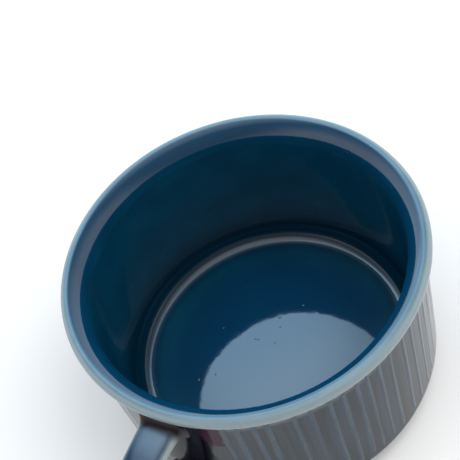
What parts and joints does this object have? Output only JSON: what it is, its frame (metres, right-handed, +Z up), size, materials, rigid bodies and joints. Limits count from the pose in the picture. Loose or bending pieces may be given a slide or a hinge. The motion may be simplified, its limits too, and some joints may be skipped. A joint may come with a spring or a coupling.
{
  "type": "shaving mug",
  "caption": "Wide, low glazed porcelain shaving mug with a flared, rounded lip, a strap handle, a ribbed outer wall and a bare foot ring.",
  "frame": {"origin": "centre of the foot ring, on the plane the mug stands on", "axes": "+Z up along the mug's axis, +X out through the handle, +Y to its left"},
  "size_m": [0.13, 0.1, 0.0546],
  "materials": {
    "fired_clay": "bare fired porcelain, fine matt grain",
    "blue_glaze": "glossy deep teal-blue glaze",
    "rim_glaze": "glossy glaze thinned to a pale steel blue",
    "brown_glaze": "glossy dark maroon-brown glaze",
    "stripe_glaze": "glossy blue-grey glaze lines"
  },
  "bodies": {
    "root": {"mug_body": "fired_clay", "handle_strap": "fired_clay", "handle_joint_upper": "blue_glaze", "handle_joint_lower": "blue_glaze", "liner_glaze": "blue_glaze", "rim_glaze": "rim_glaze", "wall_glaze": "brown_glaze", "wall_stripes": "stripe_glaze", "base_glaze": "blue_glaze", "handle_glaze": "blue_glaze"}
  },
  "joints": []
}
